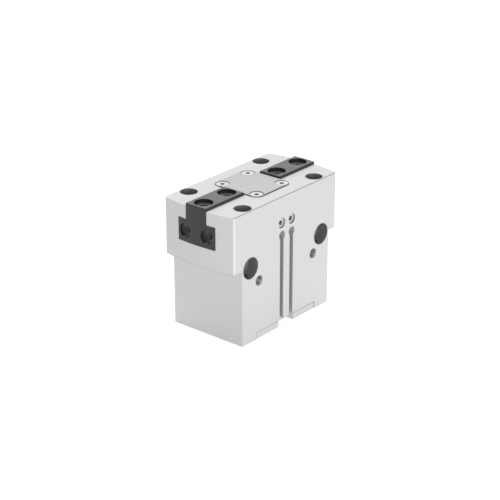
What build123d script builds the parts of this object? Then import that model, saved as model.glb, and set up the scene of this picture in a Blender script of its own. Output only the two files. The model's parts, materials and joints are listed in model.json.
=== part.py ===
from build123d import *
import os
from math import radians, tan

# Pneumatic parallel gripper with two jaws, driven by a piston and a wedge.
# Millimetres. +X is the way the right jaw opens, the ports face -Y, and the
# gripper stands on its mounting face at z = 0, at the centre of its footprint.
os.makedirs("parts", exist_ok=True)

# Housing: a wide head with bowed ends on a shorter body
head_length = 77.0          # between the head's corners
head_bow = 2.4              # how far each end bows out past its corners
head_height = 28.8
body_length = 66.0
body_height = 39.0
housing_depth = 43.0
corner_round = 1.2
edge_break = 0.3

# Clearances and gaps
slide_fit = 0.05            # each side of a sliding jaw
shaft_fit = 0.04            # round the piston rod and the piston's rings
wedge_fit = 0.08            # between the wedge's keys and the jaws' grooves
static_fit = 0.02           # round what is screwed, pressed or laid in place
seat_gap = 0.1              # round a cover in its recess
end_gap = 0.4               # left at each end of the piston's stroke
rubber_proud = 0.3          # how far the rubber buffers stand out

# Jaws and the slot that guides them
slot_depth = 18.4           # from the top of the housing to the slot's floor
stem_width = 12.6
flange_width = 22.7
flange_height = 11.4
jaw_rise = 1.3              # above the top of the housing
jaw_overhang = 0.3          # past the bowed end of the head
jaw_spacing = 26.8          # between the two jaws' inner ends when closed
jaw_chamfer = 0.4
jaw_hole_pitch = 16.5       # between the two holes in a jaw's top
jaw_hole_inset = 6.0        # from the jaw's outer end to its first hole
top_sleeve_radius = 4.6     # counterbore for a centring sleeve
top_sleeve_depth = 2.1
top_thread_radius = 2.5     # outer radius of the thread, as for every thread here
top_thread_depth = 6.0
end_hole_pitch = 13.2
end_hole_drop = 14.1        # from the jaw's top to the holes in its end
end_sleeve_radius = 3.6
end_sleeve_depth = 2.2
end_thread_radius = 2.0
end_thread_depth = 8.0

# Wedge: two keyed flanks on top of the piston rod
flank_slope = 0.75          # jaw travel for one millimetre of piston travel
wedge_height = 13.6
wedge_width = 11.8
key_neck_width = 4.6
key_neck_depth = 1.4
key_head_width = 8.4
key_head_depth = 1.7
wedge_sink = 0.1            # wedge's foot below the slot's floor
flank_drop = 0.2            # top of the jaw's flank below the cover plate

# Piston, rod and cylinder; both are ovals with round ends
piston_stroke = 8.0
cylinder_length = 39.0
cylinder_wall = 8.0         # between the cylinder and the wide faces
partition_height = 7.2      # wall between the cylinder and the wedge pocket
piston_play = 0.15
disc_height = 8.6
hub_height = 4.8
hub_inset = 3.0             # the hub leaves air space beside it
seal_lift = 5.4             # above the underside of the piston
seal_height = 2.4
seal_depth = 2.4
ring_lift = 1.2
ring_height = 3.0
ring_depth = 1.5
rod_radius = 6.0
rod_seat = 3.0              # depth of the rod's seat in the piston
rod_seal_radius = 8.0
rod_seal_height = 2.4
rod_bush_height = 2.6
lip_groove = 0.8            # width of the groove behind a seal's lip
piston_screw_radius = 2.5
piston_screw_head_radius = 4.25
piston_screw_head_height = 5.0
piston_screw_sink = 0.4
piston_screw_grip = 9.0     # depth of its thread in the rod
piston_screw_socket = 4.0   # across the flats
o_ring_radius = 4.5
o_ring_width = 1.4
o_ring_height = 1.2
magnet_radius = 2.0
magnet_height = 4.0
magnet_inset = 4.9          # from the cylinder's wall to the magnets' centres
buffer_radius = 3.0
buffer_height = 1.3
buffer_pitch = 24.0

# Cover plate on top of the head
plate_length = 26.0
plate_width = 28.4
plate_round = 3.7
plate_thickness = 2.6
plate_rise = 0.5
gasket_thickness = 0.4
plate_screw_inset_x = 3.5   # from the plate's edges to its screws
plate_screw_inset_y = 3.6
plate_screw_length = 7.0

# Countersunk screws, the same for both covers
screw_radius = 1.5
screw_hole_radius = 1.7
screw_head_radius = 3.15
screw_head_sink = 0.3       # below the surface of the cover
screw_head_angle = 90.0
screw_socket = 2.0
screw_socket_depth = 1.5
hexagon_sides = 6

# Bottom cover in a channel across the housing
channel_land = 3.25         # from the cylinder's ends to the channel's sides
channel_depth = 3.85
cover_setback = 0.2         # behind the wide faces of the housing
cover_sink = 0.1            # above the mounting face
cover_screw_inset_x = 3.75  # from the channel's sides to the screws
cover_screw_inset_y = 3.9   # from the wide faces to the screws
cover_screw_length = 10.0
cable_notch_length = 11.5
cable_notch_depth = 4.5
face_seal_land = 1.6        # from the cylinder's wall to the seal's middle line
face_seal_round = 5.0
face_seal_section = 1.8
face_seal_height = 1.2
stop_play = 0.5             # between the stop and the cylinder's wall
dowel_radius = 1.25
dowel_length = 6.0
dowel_pitch = 24.0
dowel_inset = 3.2           # from the wide faces to the dowels

# Holes in the housing
hole_inset = 6.1            # from the body's ends to the holes down and across
body_hole_inset_y = 4.9     # from the wide faces to the holes down through the body
body_hole_radius = 2.25
body_head_radius = 4.25
body_head_depth = 8.0
side_hole_height = 38.85
side_hole_radius = 3.3
side_head_radius = 5.4
side_head_depth = 6.5
port_pitch = 41.4
port_height = 30.45
port_radius = 2.5
port_depth = 10.0
drilling_radius = 1.0
drilling_tilt = 25.0        # degrees, of the drilling into the upper chamber
drilling_reach = 9.0
riser_x = 18.8              # drilling down to the lower chamber
riser_inset = 10.3          # from the ported wide face
sensor_pitch = 7.3
sensor_mouth = 2.75
sensor_bore_radius = 2.0
sensor_bore_inset = 2.6     # from the wide face to the middle of the bore
sensor_entry_radius = 2.2
sensor_top = 47.95
plug_pitch = 7.5
plug_height = 54.3
plug_radius = 2.5
plug_length = 5.0
plug_recess = 0.8
plug_socket = 2.5
plug_socket_depth = 2.5
plug_hole_depth = 6.5
purge_hole_radius = 1.25

# Heights and faces worked out from the sizes above
housing_height = body_height + head_height
front = -housing_depth / 2
hole_pitch_x = body_length - 2 * hole_inset
body_hole_pitch_y = housing_depth - 2 * body_hole_inset_y
cylinder_width = housing_depth - 2 * cylinder_wall
channel_length = cylinder_length + 2 * channel_land
plate_screw_pitch_x = plate_length - 2 * plate_screw_inset_x
plate_screw_pitch_y = plate_width - 2 * plate_screw_inset_y
cover_screw_pitch_x = channel_length - 2 * cover_screw_inset_x
cover_screw_pitch_y = housing_depth - 2 * cover_screw_inset_y
face_seal_length = cylinder_length + 2 * face_seal_land
face_seal_width = cylinder_width + 2 * face_seal_land
dowel_line = housing_depth / 2 - dowel_inset
riser_y = front + riser_inset
slot_floor = housing_height - slot_depth
slot_shoulder = slot_floor + 2 * slide_fit + flange_height
jaw_bottom = slot_floor + slide_fit
jaw_top = housing_height + jaw_rise
jaw_end = head_length / 2 + head_bow + jaw_overhang
jaw_inner = jaw_spacing / 2
plate_top = housing_height + plate_rise
recess_floor = plate_top - plate_thickness - gasket_thickness
flank_top = recess_floor - flank_drop
wedge_bottom = slot_floor - wedge_sink
wedge_top = wedge_bottom + wedge_height
pocket_floor = wedge_bottom - piston_stroke - end_gap
cylinder_top = pocket_floor - partition_height
piston_top = cylinder_top - end_gap
piston_bottom = piston_top - hub_height - disc_height
disc_top = piston_bottom + disc_height
rod_bottom = piston_top - rod_seat
stop_top = piston_bottom - piston_stroke - end_gap
magnet_pitch = sensor_pitch
magnet_line = magnet_inset - cylinder_width / 2
key_depth = key_neck_depth + key_head_depth
bush_bottom = pocket_floor - rod_bush_height
seal_bottom = bush_bottom - rod_seal_height


def flank_x(height):
    """Distance of the jaw's sloping flank from the middle, at a height."""
    return jaw_inner - flank_slope * (flank_top - height)


pocket_half = flank_x(slot_floor + piston_stroke) + key_depth + end_gap


def bowed_outline(corner_length):
    """Plan outline with straight sides and bowed ends, as a face in the sketch."""
    half = corner_length / 2
    side = housing_depth / 2
    with BuildLine() as outline:
        Line((-half, -side), (half, -side))
        ThreePointArc((half, -side), (half + head_bow, 0), (half, side))
        Line((half, side), (-half, side))
        ThreePointArc((-half, side), (-half - head_bow, 0), (-half, -side))
    make_face(outline.edges())


def oval(inset):
    """The cylinder's oval outline, smaller by an inset all round."""
    return SlotOverall(cylinder_length - 2 * inset, cylinder_width - 2 * inset)


def oval_ring(outer_inset, inner_inset):
    """The outline of a ring that runs round the oval."""
    oval(outer_inset)
    SlotOverall(
        cylinder_length - 2 * inner_inset, cylinder_width - 2 * inner_inset, mode=Mode.SUBTRACT
    )


def face_seal_outline():
    """The rounded frame of the bottom cover's seal."""
    RectangleRounded(
        face_seal_length + face_seal_section,
        face_seal_width + face_seal_section,
        face_seal_round + face_seal_section / 2,
    )
    RectangleRounded(
        face_seal_length - face_seal_section,
        face_seal_width - face_seal_section,
        face_seal_round - face_seal_section / 2,
        mode=Mode.SUBTRACT,
    )


def countersunk_screw(length):
    """Countersunk screw with a hexagon socket: head up, its top at z = 0."""
    head_depth = (screw_head_radius - screw_radius + static_fit) / tan(radians(screw_head_angle / 2))
    with BuildPart() as screw:
        with BuildSketch(Plane.XZ):
            with BuildLine():
                Polyline(
                    (0, 0),
                    (screw_head_radius, 0),
                    (screw_radius - static_fit, -head_depth),
                    (screw_radius - static_fit, -length),
                    (0, -length),
                    close=True,
                )
            make_face()
        revolve(axis=Axis.Z)
        with BuildSketch():
            RegularPolygon(screw_socket / 2, hexagon_sides, major_radius=False)
        extrude(amount=-screw_socket_depth, mode=Mode.SUBTRACT)
    return screw.part


def front_plane(x, height, inset=0.0):
    """Plane on the ported wide face, seen from outside, at a place on it."""
    return Plane(origin=(x, front + inset, height), x_dir=(1, 0, 0), z_dir=(0, -1, 0))


# Housing
with BuildPart() as housing:
    with BuildSketch():
        Rectangle(body_length, housing_depth)
    extrude(amount=housing_height)
    with BuildSketch(Plane.XY.offset(body_height)):
        bowed_outline(head_length)
    extrude(amount=head_height)
    head_corners = housing.edges().filter_by(Axis.Z).group_by(SortBy.LENGTH)[0]
    fillet(head_corners, corner_round)
    chamfer(housing.faces().sort_by(Axis.Z)[-1].edges(), edge_break)

    # Slot for the jaws, open at both ends
    with BuildSketch(Plane.YZ):
        with Locations((0, (slot_floor + slot_shoulder) / 2)):
            Rectangle(flange_width + 2 * slide_fit, slot_shoulder - slot_floor)
        with Locations((0, (slot_floor + housing_height) / 2)):
            Rectangle(stem_width + 2 * slide_fit, housing_height - slot_floor)
    extrude(amount=jaw_end, both=True, mode=Mode.SUBTRACT)

    # Pocket below the slot, where the wedge goes down
    with BuildSketch(Plane.XY.offset(pocket_floor)):
        Rectangle(2 * pocket_half, wedge_width + 2 * seat_gap)
        Circle(rod_seal_radius + seat_gap)
    extrude(amount=slot_floor - pocket_floor, mode=Mode.SUBTRACT)

    # Bore for the piston rod, with the seat of its seal and bush
    with Locations((0, 0, pocket_floor)):
        CounterBoreHole(
            rod_radius + shaft_fit,
            rod_seal_radius,
            pocket_floor - seal_bottom,
            depth=partition_height,
        )

    # Cylinder, and the channel for the bottom cover
    with BuildSketch(Plane.XY.offset(cylinder_top)):
        oval(0)
    extrude(amount=-cylinder_top, mode=Mode.SUBTRACT)
    with BuildSketch():
        Rectangle(channel_length, housing_depth)
    extrude(amount=channel_depth, mode=Mode.SUBTRACT)

    # Recess for the cover plate, and the threads of both covers
    with BuildSketch(Plane.XY.offset(recess_floor)):
        RectangleRounded(
            plate_length + 2 * seat_gap, plate_width + 2 * seat_gap, plate_round + seat_gap
        )
    extrude(amount=housing_height - recess_floor, mode=Mode.SUBTRACT)
    with Locations((0, 0, recess_floor)):
        with GridLocations(plate_screw_pitch_x, plate_screw_pitch_y, 2, 2):
            Hole(screw_radius, depth=recess_floor - slot_shoulder)
    with BuildSketch(Plane.XY.offset(channel_depth)):
        with GridLocations(cover_screw_pitch_x, cover_screw_pitch_y, 2, 2):
            Circle(screw_radius)
    extrude(amount=cover_screw_length - channel_depth + end_gap, mode=Mode.SUBTRACT)
    with BuildSketch(Plane.XY.offset(channel_depth)):
        with Locations((dowel_pitch / 2, dowel_line), (-dowel_pitch / 2, -dowel_line)):
            Circle(dowel_radius)
    extrude(amount=dowel_length / 2, mode=Mode.SUBTRACT)

    # Four mounting holes from top to bottom, and two across
    with Locations((0, 0, housing_height)):
        with GridLocations(hole_pitch_x, body_hole_pitch_y, 2, 2):
            CounterBoreHole(
                body_hole_radius, body_head_radius, body_head_depth, depth=housing_height
            )
    for x in (-hole_pitch_x / 2, hole_pitch_x / 2):
        with BuildSketch(front_plane(x, side_hole_height)):
            Circle(side_hole_radius)
        extrude(amount=-housing_depth, mode=Mode.SUBTRACT)
        for inset in (0, housing_depth - side_head_depth):
            with BuildSketch(front_plane(x, side_hole_height, inset)):
                Circle(side_head_radius)
            extrude(amount=-side_head_depth, mode=Mode.SUBTRACT)

    # Air ports: one opens into the top of the cylinder, one leads down to its foot
    for x in (-port_pitch / 2, port_pitch / 2):
        with Locations(front_plane(x, port_height)):
            Hole(port_radius, depth=port_depth)
    drilling_start = ((port_pitch - port_radius) / 2, front + port_depth - port_radius, port_height)
    drilling_way = Vector(0, 1, 0).rotate(Axis.Z, drilling_tilt)
    with BuildSketch(Plane(origin=drilling_start, z_dir=drilling_way)):
        Circle(drilling_radius)
    extrude(amount=drilling_reach, mode=Mode.SUBTRACT)
    with BuildSketch():
        with Locations((-riser_x, riser_y)):
            Circle(drilling_radius)
    extrude(amount=port_height, mode=Mode.SUBTRACT)

    # Slots for two round sensors, each with a wider entry at its top
    for x in (-sensor_pitch / 2, sensor_pitch / 2):
        with BuildSketch(Plane.XY.offset(channel_depth)):
            with Locations((x, front + sensor_bore_inset)):
                Circle(sensor_bore_radius)
            with Locations((x, front + sensor_bore_inset / 2)):
                Rectangle(sensor_mouth, sensor_bore_inset)
        extrude(amount=sensor_top - channel_depth, mode=Mode.SUBTRACT)
        with BuildSketch(front_plane(x, sensor_top)):
            Circle(sensor_entry_radius)
        extrude(amount=-(sensor_bore_inset + sensor_bore_radius), mode=Mode.SUBTRACT)

    # Plugged purge holes into the slot
    for x in (-plug_pitch / 2, plug_pitch / 2):
        with Locations(front_plane(x, plug_height)):
            CounterBoreHole(
                purge_hole_radius, plug_radius, plug_hole_depth, depth=(housing_depth - flange_width) / 2
            )
housing.part.label = "housing"
export_step(housing.part, "parts/housing.step")


# Jaws: the right one, and its mirror image
with BuildPart() as jaw_right:
    with BuildSketch(Plane.YZ):
        with Locations((0, jaw_bottom + flange_height / 2)):
            Rectangle(flange_width, flange_height)
        with Locations((0, (jaw_bottom + jaw_top) / 2)):
            Rectangle(stem_width, jaw_top - jaw_bottom)
    extrude(amount=jaw_end)
    with BuildSketch(Plane.XY.offset(jaw_bottom)):
        bowed_outline(head_length + 2 * jaw_overhang)
    extrude(amount=jaw_top - jaw_bottom, mode=Mode.INTERSECT)
    with BuildSketch(Plane.XZ):
        with BuildLine():
            Polyline(
                (0, wedge_bottom),
                (flank_x(wedge_bottom), wedge_bottom),
                (jaw_inner, flank_top),
                (jaw_inner, jaw_top),
                (0, jaw_top),
                close=True,
            )
        make_face()
    extrude(amount=flange_width, both=True, mode=Mode.SUBTRACT)
    top_rim = jaw_right.faces().sort_by(Axis.Z)[-1].edges()
    end_sides = jaw_right.faces().sort_by(Axis.X)[-1].edges().filter_by(GeomType.LINE)
    chamfer(top_rim + end_sides, jaw_chamfer)

    # Sloping groove for the wedge's key, open below
    neck_end = key_neck_depth - 2 * wedge_fit
    with BuildSketch(Plane.XY.offset(wedge_bottom)):
        with Locations((flank_x(wedge_bottom) + neck_end / 2, 0)):
            Rectangle(neck_end, key_neck_width + 2 * wedge_fit)
        with Locations((flank_x(wedge_bottom) + neck_end + (key_head_depth + 2 * wedge_fit) / 2, 0)):
            Rectangle(key_head_depth + 2 * wedge_fit, key_head_width + 2 * wedge_fit)
    groove_height = wedge_height + end_gap
    groove_length = groove_height * (1 + flank_slope**2) ** 0.5
    extrude(amount=groove_length, dir=(flank_slope, 0, 1), mode=Mode.SUBTRACT)

    # Finger mounting holes in the top and in the end
    with Locations((0, 0, jaw_top)):
        with Locations((jaw_end - jaw_hole_inset, 0), (jaw_end - jaw_hole_inset - jaw_hole_pitch, 0)):
            CounterBoreHole(
                top_thread_radius,
                top_sleeve_radius,
                top_sleeve_depth,
                depth=top_sleeve_depth + top_thread_depth,
            )
    with Locations(Plane(origin=(jaw_end, 0, jaw_top - end_hole_drop), x_dir=(0, 1, 0), z_dir=(1, 0, 0))):
        with GridLocations(end_hole_pitch, 0, 2, 1):
            CounterBoreHole(
                end_thread_radius,
                end_sleeve_radius,
                end_sleeve_depth,
                depth=end_sleeve_depth + end_thread_depth,
            )
jaw_right.part.label = "jaw_right"
export_step(jaw_right.part, "parts/jaw_right.step")

with BuildPart() as jaw_left:
    mirror(jaw_right.part, about=Plane.YZ)
jaw_left.part.label = "jaw_left"
export_step(jaw_left.part, "parts/jaw_left.step")


# Wedge: one piece with the piston rod
with BuildPart() as wedge:
    foot = flank_x(wedge_bottom) - wedge_fit
    brow = flank_x(wedge_top) - wedge_fit
    with BuildSketch(Plane.XZ):
        with BuildLine():
            Polyline(
                (-foot, wedge_bottom),
                (foot, wedge_bottom),
                (brow, wedge_top),
                (-brow, wedge_top),
                close=True,
            )
        make_face()
    extrude(amount=wedge_width / 2, both=True)
    key_length = wedge_height * (1 + flank_slope**2) ** 0.5
    for side in (-1, 1):
        with BuildSketch(Plane.XY.offset(wedge_bottom)):
            with Locations((side * (foot + key_neck_depth) / 2, 0)):
                Rectangle(foot + key_neck_depth, key_neck_width)
            with Locations((side * (foot + key_neck_depth + key_head_depth / 2), 0)):
                Rectangle(key_head_depth, key_head_width)
        extrude(amount=key_length, dir=(side * flank_slope, 0, 1))
    with BuildSketch(Plane.XY.offset(rod_bottom)):
        Circle(rod_radius)
    extrude(amount=wedge_bottom - rod_bottom)
    chamfer(wedge.faces().sort_by(Axis.Z)[0].edges(), edge_break)
    with BuildSketch(Plane.XY.offset(rod_bottom)):
        Circle(piston_screw_radius)
    extrude(amount=piston_screw_grip + end_gap, mode=Mode.SUBTRACT)
wedge.part.label = "wedge"
export_step(wedge.part, "parts/wedge.step")


# Rod bush and rod seal, pressed into the partition from above
with BuildPart() as rod_bush:
    with BuildSketch(Plane.XY.offset(bush_bottom)):
        Circle(rod_seal_radius)
        Circle(rod_radius + shaft_fit, mode=Mode.SUBTRACT)
    extrude(amount=rod_bush_height)
rod_bush.part.label = "rod_bush"
export_step(rod_bush.part, "parts/rod_bush.step")

with BuildPart() as rod_seal:
    with BuildSketch(Plane.XY.offset(seal_bottom)):
        Circle(rod_seal_radius)
        Circle(rod_radius + shaft_fit, mode=Mode.SUBTRACT)
    extrude(amount=rod_seal_height)
    with BuildSketch(Plane.XY.offset(seal_bottom)):
        Circle((rod_seal_radius + rod_radius + lip_groove) / 2)
        Circle((rod_seal_radius + rod_radius - lip_groove) / 2, mode=Mode.SUBTRACT)
    extrude(amount=rod_seal_height / 2, mode=Mode.SUBTRACT)
rod_seal.part.label = "rod_seal"
export_step(rod_seal.part, "parts/rod_seal.step")


# Piston: an oval disc with two ring grooves, and a smaller hub above it
with BuildPart() as piston:
    with BuildSketch(Plane.XY.offset(piston_bottom)):
        oval(piston_play)
    extrude(amount=disc_height)
    with BuildSketch(Plane.XY.offset(disc_top)):
        oval(hub_inset)
    extrude(amount=hub_height)
    chamfer(piston.faces().sort_by(Axis.Z)[-1].edges(), edge_break)
    chamfer(piston.faces().sort_by(Axis.Z)[0].edges(), edge_break)
    with BuildSketch(Plane.XY.offset(piston_bottom + ring_lift)):
        oval_ring(0, ring_depth)
    extrude(amount=ring_height, mode=Mode.SUBTRACT)
    with BuildSketch(Plane.XY.offset(piston_bottom + seal_lift)):
        oval_ring(0, seal_depth)
    extrude(amount=seal_height, mode=Mode.SUBTRACT)

    # Seat of the rod's end, with a groove for the ring that seals it
    with BuildSketch(Plane.XY.offset(rod_bottom)):
        Circle(rod_radius + static_fit)
    extrude(amount=rod_seat, mode=Mode.SUBTRACT)
    with BuildSketch(Plane.XY.offset(rod_bottom)):
        Circle(o_ring_radius)
        Circle(o_ring_radius - o_ring_width, mode=Mode.SUBTRACT)
    extrude(amount=-o_ring_height, mode=Mode.SUBTRACT)

    # Screw hole from below, magnet pockets, and seats for the upper buffers
    with BuildSketch(Plane.XY.offset(piston_bottom)):
        Circle(piston_screw_head_radius + seat_gap)
    extrude(amount=piston_screw_head_height + piston_screw_sink, mode=Mode.SUBTRACT)
    with BuildSketch(Plane.XY.offset(piston_bottom)):
        Circle(piston_screw_radius + seat_gap)
    extrude(amount=rod_bottom - piston_bottom, mode=Mode.SUBTRACT)
    with BuildSketch(Plane.XY.offset(piston_bottom)):
        with Locations((0, magnet_line)):
            with GridLocations(magnet_pitch, 0, 2, 1):
                Circle(magnet_radius)
    extrude(amount=magnet_height, mode=Mode.SUBTRACT)
    with BuildSketch(Plane.XY.offset(piston_top)):
        with GridLocations(buffer_pitch, 0, 2, 1):
            Circle(buffer_radius)
    extrude(amount=rubber_proud - buffer_height, mode=Mode.SUBTRACT)
piston.part.label = "piston"
export_step(piston.part, "parts/piston.step")

with BuildPart() as piston_guide_ring:
    with BuildSketch(Plane.XY.offset(piston_bottom + ring_lift)):
        oval_ring(shaft_fit, ring_depth)
    extrude(amount=ring_height)
piston_guide_ring.part.label = "piston_guide_ring"
export_step(piston_guide_ring.part, "parts/piston_guide_ring.step")

with BuildPart() as piston_seal:
    with BuildSketch(Plane.XY.offset(piston_bottom + seal_lift)):
        oval_ring(shaft_fit, seal_depth)
    extrude(amount=seal_height)
    with BuildSketch(Plane.XY.offset(piston_bottom + seal_lift + seal_height)):
        oval_ring((seal_depth - lip_groove) / 2, (seal_depth + lip_groove) / 2)
    extrude(amount=-seal_height / 2, mode=Mode.SUBTRACT)
piston_seal.part.label = "piston_seal"
export_step(piston_seal.part, "parts/piston_seal.step")

with BuildPart() as piston_magnets:
    with BuildSketch(Plane.XY.offset(piston_bottom)):
        with Locations((0, magnet_line)):
            with GridLocations(magnet_pitch, 0, 2, 1):
                Circle(magnet_radius)
    extrude(amount=magnet_height)
piston_magnets.part.label = "piston_magnets"
export_step(piston_magnets.part, "parts/piston_magnets.step")

with BuildPart() as piston_buffers:
    with BuildSketch(Plane.XY.offset(piston_top + rubber_proud)):
        with GridLocations(buffer_pitch, 0, 2, 1):
            Circle(buffer_radius)
    extrude(amount=-buffer_height)
piston_buffers.part.label = "piston_buffers"
export_step(piston_buffers.part, "parts/piston_buffers.step")

with BuildPart() as rod_o_ring:
    with BuildSketch(Plane.XY.offset(rod_bottom)):
        Circle(o_ring_radius)
        Circle(o_ring_radius - o_ring_width, mode=Mode.SUBTRACT)
    extrude(amount=-o_ring_height)
rod_o_ring.part.label = "rod_o_ring"
export_step(rod_o_ring.part, "parts/rod_o_ring.step")

with BuildPart() as piston_screw:
    head_bottom = piston_bottom + piston_screw_sink
    with BuildSketch(Plane.XY.offset(head_bottom)):
        Circle(piston_screw_head_radius)
    extrude(amount=piston_screw_head_height)
    chamfer(piston_screw.faces().sort_by(Axis.Z)[0].edges(), edge_break)
    with BuildSketch(Plane.XY.offset(head_bottom + piston_screw_head_height)):
        Circle(piston_screw_radius - static_fit)
    extrude(amount=rod_bottom + piston_screw_grip - head_bottom - piston_screw_head_height)
    with BuildSketch(Plane.XY.offset(head_bottom)):
        RegularPolygon(piston_screw_socket / 2, hexagon_sides, major_radius=False)
    extrude(amount=piston_screw_head_height / 2, mode=Mode.SUBTRACT)
piston_screw.part.label = "piston_screw"
export_step(piston_screw.part, "parts/piston_screw.step")


# Bottom cover: a plate in the channel, with the oval stop that the piston lands on
with BuildPart() as bottom_cover:
    with BuildSketch(Plane.XY.offset(cover_sink)):
        Rectangle(channel_length - 2 * seat_gap, housing_depth - 2 * cover_setback)
        with Locations((0, front + cable_notch_depth / 2)):
            Rectangle(cable_notch_length, cable_notch_depth, mode=Mode.SUBTRACT)
    extrude(amount=channel_depth - cover_sink)
    with BuildSketch(Plane.XY.offset(channel_depth)):
        oval(stop_play)
    extrude(amount=stop_top - channel_depth)

    # Groove of the face seal, and the flute that leads air from the riser past the stop
    with BuildSketch(Plane.XY.offset(channel_depth)):
        face_seal_outline()
    extrude(amount=-face_seal_height, mode=Mode.SUBTRACT)
    riser = Vector(-riser_x, riser_y)
    arc_centre = Vector((cylinder_width - cylinder_length) / 2, 0)
    flute_end = arc_centre + (riser - arc_centre).normalized() * (cylinder_width / 2 - drilling_radius)
    with BuildSketch(Plane.XY.offset(channel_depth - face_seal_height)):
        SlotCenterPoint((riser + flute_end) / 2, riser, 2 * drilling_radius)
    extrude(amount=stop_top, mode=Mode.SUBTRACT)

    # Screw holes from below, dowel holes, and seats for the lower buffers
    with Locations(Plane(origin=(0, 0, cover_sink), z_dir=(0, 0, -1))):
        with GridLocations(cover_screw_pitch_x, cover_screw_pitch_y, 2, 2):
            CounterSinkHole(
                screw_hole_radius,
                screw_head_radius + screw_head_sink,
                depth=channel_depth,
                counter_sink_angle=screw_head_angle,
            )
    with BuildSketch(Plane.XY.offset(channel_depth)):
        with Locations((dowel_pitch / 2, dowel_line), (-dowel_pitch / 2, -dowel_line)):
            Circle(dowel_radius)
    extrude(amount=-dowel_length / 2, mode=Mode.SUBTRACT)
    with BuildSketch(Plane.XY.offset(stop_top)):
        with GridLocations(buffer_pitch, 0, 2, 1):
            Circle(buffer_radius)
    extrude(amount=rubber_proud - buffer_height, mode=Mode.SUBTRACT)
bottom_cover.part.label = "bottom_cover"
export_step(bottom_cover.part, "parts/bottom_cover.step")

with BuildPart() as bottom_cover_seal:
    with BuildSketch(Plane.XY.offset(channel_depth)):
        face_seal_outline()
    extrude(amount=-face_seal_height)
bottom_cover_seal.part.label = "bottom_cover_seal"
export_step(bottom_cover_seal.part, "parts/bottom_cover_seal.step")

with BuildPart() as bottom_cover_dowels:
    with BuildSketch(Plane.XY.offset(channel_depth)):
        with Locations((dowel_pitch / 2, dowel_line), (-dowel_pitch / 2, -dowel_line)):
            Circle(dowel_radius)
    extrude(amount=dowel_length / 2, both=True)
bottom_cover_dowels.part.label = "bottom_cover_dowels"
export_step(bottom_cover_dowels.part, "parts/bottom_cover_dowels.step")

with BuildPart() as stop_buffers:
    with BuildSketch(Plane.XY.offset(stop_top + rubber_proud)):
        with GridLocations(buffer_pitch, 0, 2, 1):
            Circle(buffer_radius)
    extrude(amount=-buffer_height)
stop_buffers.part.label = "stop_buffers"
export_step(stop_buffers.part, "parts/stop_buffers.step")

cover_screw = countersunk_screw(cover_screw_length)
with BuildPart() as bottom_cover_screws:
    with Locations(Plane(origin=(0, 0, cover_sink + screw_head_sink), z_dir=(0, 0, -1))):
        with GridLocations(cover_screw_pitch_x, cover_screw_pitch_y, 2, 2):
            add(cover_screw)
bottom_cover_screws.part.label = "bottom_cover_screws"
export_step(bottom_cover_screws.part, "parts/bottom_cover_screws.step")


# Cover plate over the wedge, on its gasket, with four countersunk screws
with BuildPart() as cover_gasket:
    with BuildSketch(Plane.XY.offset(recess_floor)):
        RectangleRounded(plate_length, plate_width, plate_round)
        with GridLocations(plate_screw_pitch_x, plate_screw_pitch_y, 2, 2):
            Circle(screw_hole_radius, mode=Mode.SUBTRACT)
    extrude(amount=gasket_thickness)
cover_gasket.part.label = "cover_gasket"
export_step(cover_gasket.part, "parts/cover_gasket.step")

with BuildPart() as cover_plate:
    with BuildSketch(Plane.XY.offset(recess_floor + gasket_thickness)):
        RectangleRounded(plate_length, plate_width, plate_round)
    extrude(amount=plate_thickness)
    chamfer(cover_plate.faces().sort_by(Axis.Z)[-1].edges(), edge_break)
    with Locations((0, 0, plate_top)):
        with GridLocations(plate_screw_pitch_x, plate_screw_pitch_y, 2, 2):
            CounterSinkHole(
                screw_hole_radius,
                screw_head_radius + screw_head_sink,
                depth=plate_thickness,
                counter_sink_angle=screw_head_angle,
            )
cover_plate.part.label = "cover_plate"
export_step(cover_plate.part, "parts/cover_plate.step")

plate_screw = countersunk_screw(plate_screw_length)
with BuildPart() as cover_plate_screws:
    with Locations((0, 0, plate_top - screw_head_sink)):
        with GridLocations(plate_screw_pitch_x, plate_screw_pitch_y, 2, 2):
            add(plate_screw)
cover_plate_screws.part.label = "cover_plate_screws"
export_step(cover_plate_screws.part, "parts/cover_plate_screws.step")


# Plugs of the purge holes: set screws with a hexagon socket
with BuildPart() as purge_plugs:
    for x in (-plug_pitch / 2, plug_pitch / 2):
        with BuildSketch(front_plane(x, plug_height, plug_recess)):
            Circle(plug_radius - static_fit)
        extrude(amount=-plug_length)
    chamfer(purge_plugs.faces().sort_by(Axis.Y)[:2].edges(), edge_break)
    for x in (-plug_pitch / 2, plug_pitch / 2):
        with BuildSketch(front_plane(x, plug_height, plug_recess)):
            RegularPolygon(plug_socket / 2, hexagon_sides, major_radius=False)
        extrude(amount=-plug_socket_depth, mode=Mode.SUBTRACT)
purge_plugs.part.label = "purge_plugs"
export_step(purge_plugs.part, "parts/purge_plugs.step")
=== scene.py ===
import json
import math

import bmesh
import bpy
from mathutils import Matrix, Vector


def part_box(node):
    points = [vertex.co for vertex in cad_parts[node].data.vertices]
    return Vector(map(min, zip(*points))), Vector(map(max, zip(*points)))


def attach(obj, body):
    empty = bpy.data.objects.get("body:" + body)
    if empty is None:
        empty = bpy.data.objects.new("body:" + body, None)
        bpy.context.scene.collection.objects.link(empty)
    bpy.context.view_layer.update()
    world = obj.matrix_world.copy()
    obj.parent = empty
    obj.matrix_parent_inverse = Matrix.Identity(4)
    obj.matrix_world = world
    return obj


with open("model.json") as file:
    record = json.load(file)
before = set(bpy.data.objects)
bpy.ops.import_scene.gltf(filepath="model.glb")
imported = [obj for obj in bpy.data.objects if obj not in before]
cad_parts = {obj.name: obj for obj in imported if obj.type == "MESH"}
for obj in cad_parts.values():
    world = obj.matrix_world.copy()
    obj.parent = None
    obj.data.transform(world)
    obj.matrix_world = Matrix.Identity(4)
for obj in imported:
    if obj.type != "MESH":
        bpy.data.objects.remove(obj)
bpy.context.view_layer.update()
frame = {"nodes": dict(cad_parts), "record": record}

MM = 0.001
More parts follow.
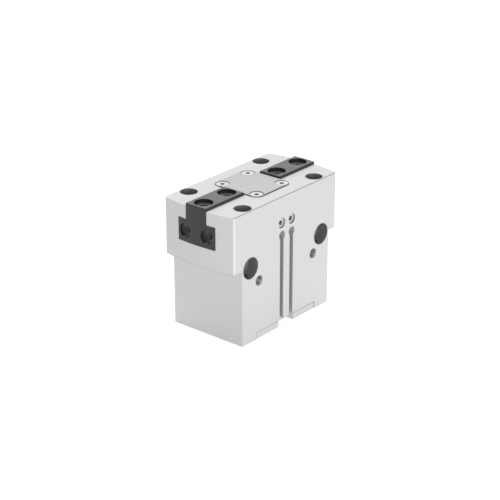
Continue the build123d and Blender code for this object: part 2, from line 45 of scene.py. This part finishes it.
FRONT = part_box("housing")[0].y
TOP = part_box("housing")[1].z
JAW_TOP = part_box("jaw_right")[1].z
JAW_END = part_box("jaw_right")[1].x
MOUNTS = {mount["name"]: mount for mount in frame["record"]["mounts"]}
RIGHT = Vector((1, 0, 0))
BACK = Vector((0, 1, 0))
DOWN = Vector((0, 0, -1))
Y_AXIS = 1
Z_AXIS = 2

# Camera: where the photograph was taken from, in metres, with its lens and sensor in millimetres
VIEW_AZIMUTH = math.radians(-50.25)
VIEW_ELEVATION = math.radians(23.64)
VIEW_DISTANCE = 770.4 * MM
VIEW_HEIGHT = 33.89 * MM
VIEW_SHIFT_RIGHT = -1.01 * MM
VIEW_SHIFT_UP = -0.65 * MM
LENS = 113.65
SENSOR_WIDTH = 36.0

# Round bores of the housing, in millimetres: centre along X, centre along Y or Z, and radius
BODY_SINK = (26.9, 16.6, 4.25)
BODY_HOLE = (26.9, 16.6, 2.25)
SIDE_HOLE = (26.9, 38.85, 5.4)
PORT = (20.7, 30.45, 2.5)
PLUG = (3.75, 54.3, 2.5)

# Other places that the finishes look for, in millimetres
BODY_SINK_FLOOR = 59.7    # just under the floors of the body holes' counterbores
BORE_MARGIN = 0.03        # a bore's mask reaches this far past its wall
BEHIND_FACE = 0.08        # painted shade in slots and sockets starts this far behind the face
SLOT_CENTRE = 3.65        # sensor slots, either side of the middle
SLOT_HALF_WIDTH = 2.1
SLOT_TOP = 50.3
OVERHANG_HEIGHT = 30.0    # the head's lower edge is above this height, the body's foot below it
TOP_RIM = 0.5             # the chamfer round the top is within this of the top
SHADED_SEAM_FLOOR = 3.4          # painted shade in the seam along the bottom cover's upper edge starts at this height
SHADED_SEAM_WIDTH = 0.35         # width of the painted shade in the seam at the cover's two ends
TOP_SHEEN_SKIN = 0.02        # faces within this of the jaws' tops get the painted sheen
TOP_STEP_BELOW = 0.5      # the steps in the top holes are further than this below the top
END_STEP_BEHIND = 1.5     # the steps in the end holes are further than this behind the end
END_HOLES_BELOW = 60.0    # the end holes lie below this height

# Limits on the parts of a normal, and the gains that turn them into masks
FLAT_ON = 0.9             # a face that looks straight along an axis is over this
SLOPING_UP = 0.2          # a chamfer is between this and FLAT_ON
LOOKING_FRONT = -0.2      # a rounded edge turned to the front is under this
LOOKING_DOWN = -0.1       # and one turned down is under this
STRONG_GAIN = 24.0        # for the edges in shade
CORNER_START = 0.25       # product of the two level parts, over which an upright corner starts and gets its painted highlight
CORNER_GAIN = 5.0
EDGE_SAMPLES = 6          # of the rounded normal

# Tones of the finishes, from 0 for black to 1 for white; the tones for edges are brighter partly from wear
# and partly as a painted highlight
# The housing's corner tone is a painted highlight on its rounded upright corners
# The housing's inside tone is painted shade in its bores, ports, plug recesses and sensor slots
HOUSING_TONES = {"open": 0.68, "corner_highlight": 0.8, "inside": 0.27, "rubbed_and_highlit": 0.9}
# The jaws' step tone is painted light on the floors of their stepped holes
# The jaws' top tone is a painted sheen on their top faces
JAW_TONES = {"open": 0.032, "top": 0.1, "step": 0.28, "rubbed_and_highlit": 0.2}
# The sheet's cut tone darkens its cut edges partly as cut steel and partly as painted shade, and its
# countersinks as painted shade
SHEET_TONES = {"open": 0.46, "cut_and_shade": 0.12, "rubbed_and_highlit": 0.65}
# The cover's seam tone is painted shade in its seam against the housing
COVER_TONES = {"open": 0.64, "seam_shade": 0.27, "rubbed_and_highlit": 0.7}
SCREW_TONES = {"open": 0.78, "rubbed_and_highlit": 0.9}
# The socket tones are painted shade inside the screws' and plugs' sockets
SHADED_SOCKET = 0.03
SHADED_PLUG_SOCKET = 0.42
RUBBER_TONE = 0.02
SHADED_EDGE = 0.25
RUBBED_HIGHLIGHT_RATIO = 1.3        # how much brighter a plain metal is on its edges, partly from wear and partly as a painted highlight

# Shares of an effect, from 0 for none to 1 for all of it
TOP_FRONT_SHADE = 0.7     # shade along the upper front edge
PLUG_SHADE_SHARE = 0.7       # share of the inside tone, painted shade, round the plugs
SLOT_SHADE_SHARE = 0.3       # share of the inside tone, painted shade, in the sensor slots
END_STEP_LIGHT_SHARE = 0.3      # share of the step tone, painted light, in the jaws' end holes

# Grain: shares of its fine and its broad noise, the value that both vary about, and the depth of its bump
FINE_SHARE = 0.4
BROAD_SHARE = 0.6
NOISE_MIDDLE = 0.5
GRAIN_DEPTH = 0.02 * MM

# What a metal finish starts from, each giving its own roughness: scales of its grain, spread of tone and
# roughness, radius and gain of its edge mask, strengths of edge brightening (part wear, part painted
# highlight), of painted chamfer highlights, of painted shade and of bump
METAL_LOOK = {
    "fine": 4000.0, "broad": 90.0, "spread": 0.08, "roughness_spread": 0.12,
    "edge": 0.12 * MM, "edge_gain": 2.0, "rub_and_highlight": 0.4, "chamfer": 0.0, "shade": 0.0, "bump": 0.1,
}

# Threads: radius of the hole's wall and of the ridge's crest, pitch and depth, in metres
PORT_THREAD = (2.5 * MM, 2.1 * MM, 0.8 * MM, 8.6 * MM)
TOP_THREAD = (2.5 * MM, 2.1 * MM, 0.8 * MM, 5.4 * MM)
END_THREAD = (2.0 * MM, 1.65 * MM, 0.7 * MM, 7.2 * MM)
TOP_SLEEVE_DEPTH = 2.1 * MM
END_SLEEVE_DEPTH = 2.2 * MM
ROOT_SINK = 0.02 * MM     # the ridge's root goes this far into the wall
RIDGE_PLACES = (0.06, 0.44, 0.56, 0.94)    # its root, crest, crest and root, as shares of one pitch
TURN_STEPS = 28

# Studio: brightness of the floor and the surroundings as they light the object, and what the floor adds
# where it is seen; size in metres; lamps with their place and size in metres and power in watts
FLOOR_GLOW = 0.2
FLOOR_LIFT = 0.42
FLOOR_TONE = 0.8
FLOOR_ROUGHNESS = 0.9
FLOOR_HALF_SIZE = 6.0
WORLD_LEVEL = 0.42
LAMPS = {
    "right lamp": ((0.3, -1.0, 0.35), 0.7, 0.8),
    "top lamp": ((0.42, 0.48, 1.0), 1.0, 6.2),
    "low lamp": ((-0.47, -1.05, 0.15), 0.5, 5.8),
}


def add_node(tree, kind, values=None, **settings):
    """Adds a shader node; a value that is a socket is linked, any other is set."""
    made = tree.nodes.new(kind)
    for key, value in settings.items():
        setattr(made, key, value)
    for socket, value in (values or {}).items():
        if isinstance(value, bpy.types.NodeSocket):
            tree.links.new(value, made.inputs[socket])
        else:
            made.inputs[socket].default_value = value
    return made


def math_node(tree, operation, first, second=0.0, third=0.0, clamp=False):
    """One sum on numbers or sockets, held between 0 and 1 if asked."""
    values = {0: first, 1: second, 2: third}
    return add_node(tree, "ShaderNodeMath", values, operation=operation, use_clamp=clamp).outputs[0]


def above(tree, value, limit):
    """1 where a value is over a limit, 0 elsewhere."""
    return math_node(tree, "GREATER_THAN", value, limit)


def below(tree, value, limit):
    """1 where a value is under a limit, 0 elsewhere."""
    return math_node(tree, "LESS_THAN", value, limit)


def all_of(tree, *masks):
    """The masks multiplied: 1 only where each of them is."""
    product = masks[0]
    for mask in masks[1:]:
        product = math_node(tree, "MULTIPLY", product, mask)
    return product


def any_of(tree, *masks):
    """The greatest of the masks: 1 where at least one of them is."""
    greatest = masks[0]
    for mask in masks[1:]:
        greatest = math_node(tree, "MAXIMUM", greatest, mask)
    return greatest


def split(tree, vector):
    """The three coordinates of a vector."""
    return add_node(tree, "ShaderNodeSeparateXYZ", {0: vector}).outputs


def scaled(tree, vector, factor):
    """A vector or colour times a number."""
    values = {0: vector, "Scale": factor}
    return add_node(tree, "ShaderNodeVectorMath", values, operation="SCALE").outputs[0]


def own_normal(tree):
    """The normal of the surface as it is modelled."""
    return add_node(tree, "ShaderNodeNewGeometry").outputs["Normal"]


def new_group(name, inputs, outputs):
    """An empty node group with its named inputs and outputs."""
    group = bpy.data.node_groups.new(name, "ShaderNodeTree")
    for label, kind, value in inputs:
        socket = group.interface.new_socket(label, in_out="INPUT", socket_type=kind)
        if value is not None:
            socket.default_value = value
    for label, kind in outputs:
        group.interface.new_socket(label, in_out="OUTPUT", socket_type=kind)
    return group, group.nodes.new("NodeGroupInput"), group.nodes.new("NodeGroupOutput")


def make_bore_mask():
    """1 inside a round bore, from the two coordinates across its axis, in millimetres."""
    group, given, result = new_group(
        "bore mask",
        [
            ("Across", "NodeSocketFloat", 0.0),
            ("Up", "NodeSocketFloat", 0.0),
            ("Centre Across", "NodeSocketFloat", 0.0),
            ("Centre Up", "NodeSocketFloat", 0.0),
            ("Radius", "NodeSocketFloat", 1.0),
        ],
        [("Mask", "NodeSocketFloat")],
    )
    across = math_node(group, "SUBTRACT", given.outputs["Across"], given.outputs["Centre Across"])
    up = math_node(group, "SUBTRACT", given.outputs["Up"], given.outputs["Centre Up"])
    across_square = math_node(group, "MULTIPLY", across, across)
    up_square = math_node(group, "MULTIPLY", up, up)
    distance = math_node(group, "SQRT", math_node(group, "ADD", across_square, up_square))
    edge = math_node(group, "ADD", given.outputs["Radius"], BORE_MARGIN)
    group.links.new(below(group, distance, edge), result.inputs["Mask"])
    return group


def make_satin_grain():
    """Fine blasted grain with a faint broad cloudiness, for metal and rubber finishes."""
    group, given, result = new_group(
        "satin grain",
        [
            ("Vector", "NodeSocketVector", None),
            ("Fine Scale", "NodeSocketFloat", 4000.0),
            ("Broad Scale", "NodeSocketFloat", 60.0),
            ("Tone Spread", "NodeSocketFloat", 0.03),
            ("Roughness", "NodeSocketFloat", 0.4),
            ("Roughness Spread", "NodeSocketFloat", 0.06),
        ],
        [("Tone", "NodeSocketFloat"), ("Roughness", "NodeSocketFloat"), ("Height", "NodeSocketFloat")],
    )
    fine = add_node(
        group, "ShaderNodeTexNoise",
        {"Vector": given.outputs["Vector"], "Scale": given.outputs["Fine Scale"], "Detail": 3.0},
    ).outputs["Fac"]
    broad = add_node(
        group, "ShaderNodeTexNoise",
        {"Vector": given.outputs["Vector"], "Scale": given.outputs["Broad Scale"], "Detail": 2.0},
    ).outputs["Fac"]
    fine_part = math_node(group, "MULTIPLY", fine, FINE_SHARE)
    broad_part = math_node(group, "MULTIPLY", broad, BROAD_SHARE)
    mixed = math_node(group, "ADD", fine_part, broad_part)
    centred = math_node(group, "SUBTRACT", mixed, NOISE_MIDDLE)
    tone = math_node(group, "MULTIPLY_ADD", centred, given.outputs["Tone Spread"], 1.0)
    rough_part = math_node(group, "MULTIPLY", centred, given.outputs["Roughness Spread"])
    rough = math_node(group, "ADD", rough_part, given.outputs["Roughness"])
    group.links.new(tone, result.inputs["Tone"])
    group.links.new(rough, result.inputs["Roughness"])
    group.links.new(fine, result.inputs["Height"])
    return group


def make_edge_rub_light_and_shade():
    """Finds edges from how far a rounded normal turns away from the surface's own.

    Mask is 1 on edges, which the finishes brighten partly as wear and partly as a painted highlight. Shade
    is painted shade on the upper front edge and the edges under the overhang. The chamfer output is a
    painted highlight on the chamfers round the top apart from the front one. Normal is the rounded normal."""
    group, given, result = new_group(
        "edge rub, light and shade",
        [
            ("Radius", "NodeSocketFloat", 0.3 * MM),
            ("Gain", "NodeSocketFloat", 3.0),
            ("Height", "NodeSocketFloat", 0.0),
        ],
        [
            ("Mask", "NodeSocketFloat"),
            ("Shade", "NodeSocketFloat"),
            ("Chamfer Highlight", "NodeSocketFloat"),
            ("Normal", "NodeSocketVector"),
        ],
    )
    height = given.outputs["Height"]
    radius = {"Radius": given.outputs["Radius"]}
    rounded = add_node(group, "ShaderNodeBevel", radius, samples=EDGE_SAMPLES).outputs[0]
    own = own_normal(group)
    likeness = add_node(group, "ShaderNodeVectorMath", {0: rounded, 1: own}, operation="DOT_PRODUCT")
    turn = math_node(group, "SUBTRACT", 1.0, likeness.outputs["Value"])
    mask = math_node(group, "MULTIPLY", turn, given.outputs["Gain"], clamp=True)
    strong = math_node(group, "MULTIPLY", turn, STRONG_GAIN, clamp=True)

    own_up = split(group, own)[2]
    sloping = all_of(group, above(group, own_up, SLOPING_UP), below(group, own_up, FLAT_ON))
    chamfer = all_of(group, sloping, above(group, height, TOP / MM - TOP_RIM))

    _, along, up = split(group, rounded)
    front = all_of(group, below(group, along, LOOKING_FRONT), above(group, up, SLOPING_UP))
    top_front = all_of(group, front, any_of(group, strong, chamfer), TOP_FRONT_SHADE)
    under = all_of(group, below(group, up, LOOKING_DOWN), above(group, height, OVERHANG_HEIGHT), strong)
    # painted highlight on the chamfers round the top, apart from the front one
    chamfer_highlight = math_node(group, "SUBTRACT", chamfer, all_of(group, chamfer, front))

    group.links.new(mask, result.inputs["Mask"])
    group.links.new(any_of(group, top_front, under), result.inputs["Shade"])
    group.links.new(chamfer_highlight, result.inputs["Chamfer Highlight"])
    group.links.new(rounded, result.inputs["Normal"])
    return group


BORE_MASK = make_bore_mask()
SATIN_GRAIN = make_satin_grain()
EDGE_RUB_LIGHT_AND_SHADE = make_edge_rub_light_and_shade()


def grey(value):
    """A neutral colour."""
    return (value, value, value, 1.0)


def start_material(name):
    """A new material with its Principled shader, and the object's coordinates in metres and millimetres."""
    material = bpy.data.materials.new(name)
    material.use_nodes = True
    tree = material.node_tree
    shader = tree.nodes["Principled BSDF"]
    place = add_node(tree, "ShaderNodeTexCoord").outputs["Object"]
    return material, tree, shader, place, scaled(tree, place, 1 / MM)


def use_group(tree, group, values):
    """Places a node group in a material."""
    return add_node(tree, "ShaderNodeGroup", values, node_tree=group)


def blend(tree, factor, first, second):
    """Mixes two colours."""
    values = {"Factor": factor, 6: first, 7: second}
    return add_node(tree, "ShaderNodeMix", values, data_type="RGBA").outputs[2]


def bore(tree, across, up, place):
    """Mask of one kind of bore, given where it is and its radius."""
    centre_across, centre_up, radius = place
    values = {"Across": across, "Up": up, "Centre Across": centre_across, "Centre Up": centre_up,
              "Radius": radius}
    return use_group(tree, BORE_MASK, values).outputs["Mask"]


def facing_up(tree):
    """1 where the surface looks straight up, 0 on sides, cones and chamfers."""
    return above(tree, split(tree, own_normal(tree))[2], FLAT_ON)


def painted_corner_highlight(tree):
    """1 on the rounded upright corners, which get a painted highlight, 0 on flat and bowed faces."""
    across, along, _ = split(tree, own_normal(tree))
    turned = math_node(tree, "ABSOLUTE", math_node(tree, "MULTIPLY", across, along))
    return math_node(tree, "MULTIPLY_ADD", turned, CORNER_GAIN, -CORNER_GAIN * CORNER_START, clamp=True)


def finish_metal(tree, shader, place, colours, mask, look, height=0.0):
    """Satin metal with its colours for open faces, for where the mask is 1, and for edges brightened partly
    by wear and partly as a painted highlight, with painted shade on shaded edges. The masked colour is
    painted shade in most finishes and painted light on the jaws' steps.
    """
    grain = use_group(
        tree, SATIN_GRAIN,
        {"Vector": place, "Fine Scale": look["fine"], "Broad Scale": look["broad"],
         "Tone Spread": look["spread"], "Roughness": look["roughness"],
         "Roughness Spread": look["roughness_spread"]},
    )
    edges = use_group(tree, EDGE_RUB_LIGHT_AND_SHADE, {"Radius": look["edge"], "Gain": look["edge_gain"], "Height": height})
    open_face, inside, rubbed_and_highlit = colours
    colour = blend(tree, mask, open_face, inside)
    # edges brighten partly from wear and partly as a painted highlight; shaded edges get painted shade
    rubbing_and_highlight = all_of(tree, edges.outputs["Mask"], look["rub_and_highlight"])
    # painted highlight on the chamfers round the top
    chamfer_highlights = all_of(tree, edges.outputs["Chamfer Highlight"], look["chamfer"])
    colour = blend(tree, any_of(tree, rubbing_and_highlight, chamfer_highlights), colour, rubbed_and_highlit)
    shade = all_of(tree, edges.outputs["Shade"], look["shade"])
    colour = blend(tree, shade, colour, grey(SHADED_EDGE))
    tree.links.new(scaled(tree, colour, grain.outputs["Tone"]), shader.inputs["Base Color"])
    tree.links.new(grain.outputs["Roughness"], shader.inputs["Roughness"])
    bump = add_node(
        tree, "ShaderNodeBump",
        {"Strength": look["bump"], "Distance": GRAIN_DEPTH, "Height": grain.outputs["Height"],
         "Normal": edges.outputs["Normal"]},
    )
    tree.links.new(bump.outputs[0], shader.inputs["Normal"])


def anodised_housing():
    """Fine satin light metal. Its bores and slots hold painted shade, as do its upper front edge and the
    edges under its overhang; its upright corners and top chamfers get a painted highlight, and its edges
    are brightened partly by wear and partly as a painted highlight.
    """
    material, tree, shader, place, millimetres = start_material("anodised housing")
    shader.inputs["Metallic"].default_value = 0.25
    x, y, z = split(tree, millimetres)
    off_x = math_node(tree, "ABSOLUTE", x)
    off_y = math_node(tree, "ABSOLUTE", y)
    front_half = below(tree, y, 0.0)
    from_slot = math_node(tree, "ABSOLUTE", math_node(tree, "SUBTRACT", off_x, SLOT_CENTRE))
    in_slot_width = below(tree, from_slot, SLOT_HALF_WIDTH)
    behind_front = above(tree, y, FRONT / MM + BEHIND_FACE)
    # painted shade inside the bores, ports, plug recesses and sensor slots
    inside = any_of(
        tree,
        all_of(tree, bore(tree, off_x, off_y, BODY_SINK), above(tree, z, BODY_SINK_FLOOR)),
        bore(tree, off_x, off_y, BODY_HOLE),
        bore(tree, off_x, z, SIDE_HOLE),
        all_of(tree, bore(tree, off_x, z, PORT), front_half),
        all_of(tree, bore(tree, off_x, z, PLUG), front_half, PLUG_SHADE_SHARE),
        all_of(tree, in_slot_width, behind_front, below(tree, z, SLOT_TOP), front_half, SLOT_SHADE_SHARE),
    )
    # painted highlight: the rounded upright corners are lighter than the flat faces
    corners = painted_corner_highlight(tree)
    open_face = blend(tree, corners, grey(HOUSING_TONES["open"]), grey(HOUSING_TONES["corner_highlight"]))
    colours = (open_face, grey(HOUSING_TONES["inside"]), grey(HOUSING_TONES["rubbed_and_highlit"]))
    look = dict(METAL_LOOK, fine=5000.0, broad=45.0, spread=0.05, roughness=0.45, roughness_spread=0.1,
                edge=0.3 * MM, edge_gain=3.0, rub_and_highlight=0.7, chamfer=1.0, shade=1.0, bump=0.12)
    finish_metal(tree, shader, place, colours, inside, look, z)
    return material


def blackened_jaw():
    """Blackened steel with a painted sheen on its top face and painted light on the steps inside its
    stepped holes.
    """
    material, tree, shader, place, millimetres = start_material("blackened jaw")
    shader.inputs["Metallic"].default_value = 0.35
    x, _, z = split(tree, millimetres)
    # painted sheen: the top face is lighter than the jaw's other faces
    top_sheen = above(tree, z, JAW_TOP / MM - TOP_SHEEN_SKIN)
    open_face = blend(tree, top_sheen, grey(JAW_TONES["open"]), grey(JAW_TONES["top"]))
    # painted light on the floors of the steps in the top and end holes
    top_steps = all_of(tree, facing_up(tree), below(tree, z, JAW_TOP / MM - TOP_STEP_BELOW))
    across = split(tree, own_normal(tree))[0]
    facing_end = above(tree, math_node(tree, "ABSOLUTE", across), FLAT_ON)
    behind_end = below(tree, math_node(tree, "ABSOLUTE", x), JAW_END / MM - END_STEP_BEHIND)
    end_steps = all_of(tree, facing_end, behind_end, below(tree, z, END_HOLES_BELOW), END_STEP_LIGHT_SHARE)
    steps = any_of(tree, top_steps, end_steps)
    colours = (open_face, grey(JAW_TONES["step"]), grey(JAW_TONES["rubbed_and_highlit"]))
    look = dict(METAL_LOOK, fine=6000.0, broad=120.0, spread=0.3, roughness=0.38,
                edge=0.2 * MM, rub_and_highlight=0.3, bump=0.15)
    finish_metal(tree, shader, place, colours, steps, look)
    return material


def cover_sheet():
    """Ground steel sheet whose cut edges are darker partly as cut steel and partly as painted shade, and
    whose countersinks hold painted shade.
    """
    material, tree, shader, place, _ = start_material("cover sheet")
    shader.inputs["Metallic"].default_value = 0.5
    # darker on every face that doesn't look up: painted shade, with the cut steel's own darker tone on the
    # edges
    cut_and_shade = math_node(tree, "SUBTRACT", 1.0, facing_up(tree))
    colours = (grey(SHEET_TONES["open"]), grey(SHEET_TONES["cut_and_shade"]), grey(SHEET_TONES["rubbed_and_highlit"]))
    look = dict(METAL_LOOK, roughness=0.36, edge_gain=1.0, rub_and_highlight=0.2)
    finish_metal(tree, shader, place, colours, cut_and_shade, look)
    return material


def cover_metal():
    """Satin light metal with painted shade along the seam where it meets the channel in the housing."""
    material, tree, shader, place, millimetres = start_material("cover metal")
    shader.inputs["Metallic"].default_value = 0.5
    x, _, z = split(tree, millimetres)
    half_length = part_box("bottom_cover")[1].x / MM
    # painted shade along the seam at the cover's ends and upper edge
    at_ends = above(tree, math_node(tree, "ABSOLUTE", x), half_length - SHADED_SEAM_WIDTH)
    at_top = above(tree, z, SHADED_SEAM_FLOOR)
    seam_shade = any_of(tree, at_ends, at_top)
    colours = (grey(COVER_TONES["open"]), grey(COVER_TONES["seam_shade"]), grey(COVER_TONES["rubbed_and_highlit"]))
    look = dict(METAL_LOOK, fine=5000.0, broad=45.0, spread=0.05, roughness=0.4, roughness_spread=0.1,
                edge=0.15 * MM, rub_and_highlight=0.1)
    finish_metal(tree, shader, place, colours, seam_shade, look)
    return material


def socket_screws(name, axis, surface, inwards, socket):
    """Bright screws with painted shade in their sockets, past a depth along one axis."""
    material, tree, shader, place, millimetres = start_material(name)
    shader.inputs["Metallic"].default_value = 0.25
    reach = split(tree, millimetres)[axis]
    past = above if inwards > 0 else below
    # painted shade in the socket
    socket_shade = past(tree, reach, surface / MM + BEHIND_FACE * inwards)
    colours = (grey(SCREW_TONES["open"]), grey(socket), grey(SCREW_TONES["rubbed_and_highlit"]))
    look = dict(METAL_LOOK, broad=200.0, spread=0.06, roughness=0.3, roughness_spread=0.1, bump=0.08)
    finish_metal(tree, shader, place, colours, socket_shade, look)
    return material


def plain_metal(name, tone, metallic, roughness):
    """Bright or dull metal of one tone, with grain and with edges brightened partly by wear and partly as a
    painted highlight.
    """
    material, tree, shader, place, _ = start_material(name)
    shader.inputs["Metallic"].default_value = metallic
    colours = (grey(tone), grey(tone), grey(min(1.0, tone * RUBBED_HIGHLIGHT_RATIO)))
    look = dict(METAL_LOOK, roughness=roughness, edge=0.15 * MM)
    finish_metal(tree, shader, place, colours, 0.0, look)
    return material


def moulded_rubber():
    """Black seal rubber with a faint mottled sheen."""
    material, tree, shader, place, _ = start_material("moulded rubber")
    grain = use_group(tree, SATIN_GRAIN, {"Vector": place, "Fine Scale": 2500.0, "Roughness": 0.6})
    toned = scaled(tree, grey(RUBBER_TONE)[:3], grain.outputs["Tone"])
    tree.links.new(toned, shader.inputs["Base Color"])
    tree.links.new(grain.outputs["Roughness"], shader.inputs["Roughness"])
    return material


def dress(material, *nodes):
    """Gives CAD nodes their finish."""
    for name in nodes:
        data = frame["nodes"][name].data
        data.materials.clear()
        data.materials.append(material)


def cut_thread(mesh, mouth, inwards, thread):
    """Adds one right-hand helical ridge to a threaded hole, from its mouth inwards."""
    wall, crest, pitch, depth = thread
    side = inwards.orthogonal().normalized()
    root = wall + ROOT_SINK
    profile = zip((root, crest, crest, root), RIDGE_PLACES)
    corners = [
        mesh.verts.new(mouth + side * radius + inwards * (place * pitch))
        for radius, place in profile
    ]
    edges = [mesh.edges.new((corners[i], corners[i - 1])) for i in range(len(corners))]
    mesh.faces.new(corners)
    turns = int(depth / pitch) - 1
    swept = bmesh.ops.spin(
        mesh, geom=corners + edges, cent=mouth, axis=inwards, dvec=inwards * (pitch / TURN_STEPS),
        angle=2 * math.pi * turns, steps=turns * TURN_STEPS, use_merge=False,
    )
    end_edges = [item for item in swept["geom_last"] if isinstance(item, bmesh.types.BMEdge)]
    bmesh.ops.contextual_create(mesh, geom=end_edges)


def make_threads(name, body, material, holes):
    """The threads of some holes as one piece that rides on their body."""
    mesh = bmesh.new()
    for mouth, inwards, thread in holes:
        cut_thread(mesh, Vector(mouth), Vector(inwards), thread)
    bmesh.ops.recalc_face_normals(mesh, faces=mesh.faces)
    data = bpy.data.meshes.new(name)
    mesh.to_mesh(data)
    mesh.free()
    data.materials.append(material)
    piece = bpy.data.objects.new(name, data)
    bpy.context.scene.collection.objects.link(piece)
    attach(piece, body)
    return piece


def hole_centres(mount, along):
    """Centres of the holes of a two-hole pattern, spread along a direction."""
    middle = Vector(MOUNTS[mount]["pos_m"])
    half = MOUNTS[mount]["dims"]["spacing_x_mm"] * MM / 2
    return [middle - along * half, middle + along * half]


def port_threads(material):
    """Threads of the two air ports."""
    holes = [(mouth, BACK, PORT_THREAD) for mouth in hole_centres("air_ports", RIGHT)]
    return make_threads("port_threads", "housing", material, holes)


def finger_threads(side, sign, material):
    """Threads of the four finger holes in one jaw."""
    top = JAW_TOP - TOP_SLEEVE_DEPTH
    end = sign * (JAW_END - END_SLEEVE_DEPTH)
    top_holes = hole_centres(side + "_finger_top", RIGHT)
    end_holes = hole_centres(side + "_finger_end", BACK)
    holes = [((hole.x, hole.y, top), DOWN, TOP_THREAD) for hole in top_holes]
    holes += [((end, hole.y, hole.z), RIGHT * -sign, END_THREAD) for hole in end_holes]
    return make_threads("jaw_" + side + "_threads", "jaw_" + side, material, holes)


def background_seen(tree):
    """1 where the background is seen, straight or in a reflection or through glass, 0 where it lights."""
    rays = add_node(tree, "ShaderNodeLightPath").outputs
    return any_of(tree, rays["Is Camera Ray"], rays["Is Transmission Ray"], rays["Is Glossy Ray"])


def make_floor():
    """Pale floor that looks white and keeps a faint shadow."""
    mesh = bmesh.new()
    bmesh.ops.create_grid(mesh, x_segments=1, y_segments=1, size=FLOOR_HALF_SIZE)
    data = bpy.data.meshes.new("floor")
    mesh.to_mesh(data)
    mesh.free()
    floor = bpy.data.objects.new("floor", data)
    bpy.context.scene.collection.objects.link(floor)
    material = bpy.data.materials.new("pale floor")
    material.use_nodes = True
    tree = material.node_tree
    shader = tree.nodes["Principled BSDF"]
    shader.inputs["Base Color"].default_value = grey(FLOOR_TONE)
    shader.inputs["Roughness"].default_value = FLOOR_ROUGHNESS
    shader.inputs["Specular IOR Level"].default_value = 0.0
    shader.inputs["Emission Color"].default_value = grey(1.0)
    glow = math_node(tree, "MULTIPLY_ADD", background_seen(tree), FLOOR_LIFT, FLOOR_GLOW)
    tree.links.new(glow, shader.inputs["Emission Strength"])
    data.materials.append(material)


def make_world():
    """Even pale surroundings that look white behind the object."""
    world = bpy.data.worlds.new("studio")
    bpy.context.scene.world = world
    world.use_nodes = True
    tree = world.node_tree
    background = tree.nodes["Background"]
    background.inputs["Color"].default_value = grey(1.0)
    lift = math_node(tree, "MULTIPLY_ADD", background_seen(tree), 1.0 - WORLD_LEVEL, WORLD_LEVEL)
    tree.links.new(lift, background.inputs["Strength"])


def soft_lamp(name, place, size, power):
    """A square soft lamp aimed at the middle of the object."""
    lamp = bpy.data.lights.new(name, "AREA")
    lamp.shape = "SQUARE"
    lamp.size = size
    lamp.energy = power
    holder = bpy.data.objects.new(name, lamp)
    target = Vector((0, 0, VIEW_HEIGHT))
    holder.location = place
    holder.rotation_mode = "QUATERNION"
    holder.rotation_quaternion = (target - Vector(place)).to_track_quat("-Z", "Y")
    bpy.context.scene.collection.objects.link(holder)


def make_camera():
    """The camera at the photograph's place and angle."""
    back = Vector((
        math.sin(VIEW_AZIMUTH) * math.cos(VIEW_ELEVATION),
        -math.cos(VIEW_AZIMUTH) * math.cos(VIEW_ELEVATION),
        math.sin(VIEW_ELEVATION),
    ))
    right = Vector((math.cos(VIEW_AZIMUTH), math.sin(VIEW_AZIMUTH), 0.0))
    up = back.cross(right)
    data = bpy.data.cameras.new("camera")
    data.lens = LENS
    data.sensor_width = SENSOR_WIDTH
    camera = bpy.data.objects.new("camera", data)
    middle = Vector((0.0, 0.0, VIEW_HEIGHT))
    camera.location = middle + back * VIEW_DISTANCE + right * VIEW_SHIFT_RIGHT + up * VIEW_SHIFT_UP
    camera.rotation_mode = "QUATERNION"
    camera.rotation_quaternion = (-back).to_track_quat("-Z", "Y")
    bpy.context.scene.collection.objects.link(camera)
    bpy.context.scene.camera = camera


# Finishes of the CAD pieces
PLATE_SCREW_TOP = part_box("cover_plate_screws")[1].z
COVER_SCREW_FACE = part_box("bottom_cover_screws")[0].z
PLUG_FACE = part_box("purge_plugs")[0].y
# the socket tones are painted shade
plate_screws = socket_screws("plate screws", Z_AXIS, PLATE_SCREW_TOP, inwards=-1, socket=SHADED_SOCKET)
cover_screws = socket_screws("cover screws", Z_AXIS, COVER_SCREW_FACE, inwards=1, socket=SHADED_SOCKET)
purge_plugs = socket_screws("purge plugs", Y_AXIS, PLUG_FACE, inwards=1, socket=SHADED_PLUG_SOCKET)
bright_pin = plain_metal("bright pin", tone=0.8, metallic=0.9, roughness=0.25)
dress(anodised_housing(), "housing")
dress(blackened_jaw(), "jaw_left", "jaw_right")
dress(cover_sheet(), "cover_plate")
dress(cover_metal(), "bottom_cover")
dress(plate_screws, "cover_plate_screws")
dress(cover_screws, "bottom_cover_screws")
dress(purge_plugs, "purge_plugs")
dress(bright_pin, "bottom_cover_dowels", "piston_screw")
dress(plain_metal("ground steel", tone=0.4, metallic=0.9, roughness=0.3), "wedge")
dress(plain_metal("turned metal", tone=0.7, metallic=0.8, roughness=0.35), "piston")
dress(plain_metal("bronze", tone=0.4, metallic=0.9, roughness=0.4), "rod_bush")
dress(plain_metal("magnet", tone=0.6, metallic=1.0, roughness=0.25), "piston_magnets")
dress(moulded_rubber(), "cover_gasket", "bottom_cover_seal", "rod_seal", "rod_o_ring", "piston_seal",
      "piston_buffers", "stop_buffers", "piston_guide_ring")

# Threads, which the solids have as plain holes
thread_metal = plain_metal("blackened thread", tone=0.13, metallic=0.3, roughness=0.4)
# the port thread's dark tone is painted shade inside the ports of the light housing
shaded_port_metal = plain_metal("port thread", tone=0.3, metallic=0.5, roughness=0.35)
port_threads(shaded_port_metal)
for side, sign in (("left", -1), ("right", 1)):
    finger_threads(side, sign, thread_metal)

# Studio
make_floor()
make_world()
for name, (place, size, power) in LAMPS.items():
    soft_lamp(name, place, size, power)
make_camera()
bpy.context.scene.view_settings.view_transform = "Standard"
